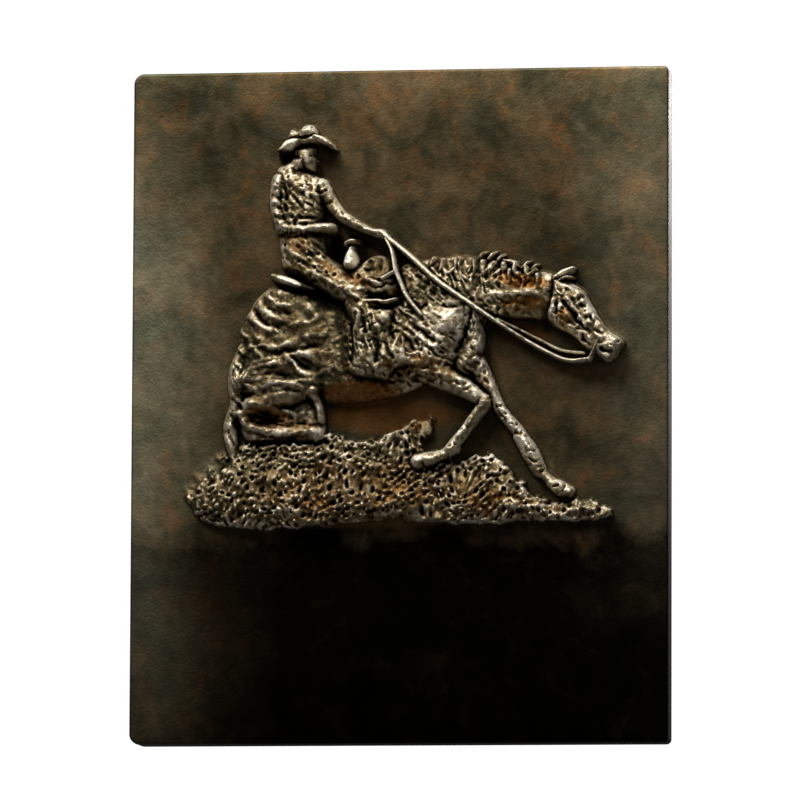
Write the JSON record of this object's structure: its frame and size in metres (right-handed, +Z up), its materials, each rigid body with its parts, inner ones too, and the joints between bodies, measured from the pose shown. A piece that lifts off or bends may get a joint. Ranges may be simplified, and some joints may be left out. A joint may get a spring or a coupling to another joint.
{
  "type": "relief plaque",
  "caption": "Upright cast bronze wall plaque with a high relief of a hatted rider reining a sliding horse to a stop above broken ground, over a bare lower field.",
  "frame": {"origin": "middle of the flat back face, where the plaque lies against its wall", "axes": "+Z up the plaque, +Y into the wall, the relief faces -Y, +X to the right as the relief is looked at"},
  "size_m": [0.2032, 0.0278, 0.254],
  "materials": {
    "bronze": "cast bronze with a dark brown and olive patina, orange-brown in the hollows and rubbed to pale gold on the ridges"
  },
  "bodies": {
    "root": {"plaque": "bronze"}
  },
  "joints": []
}
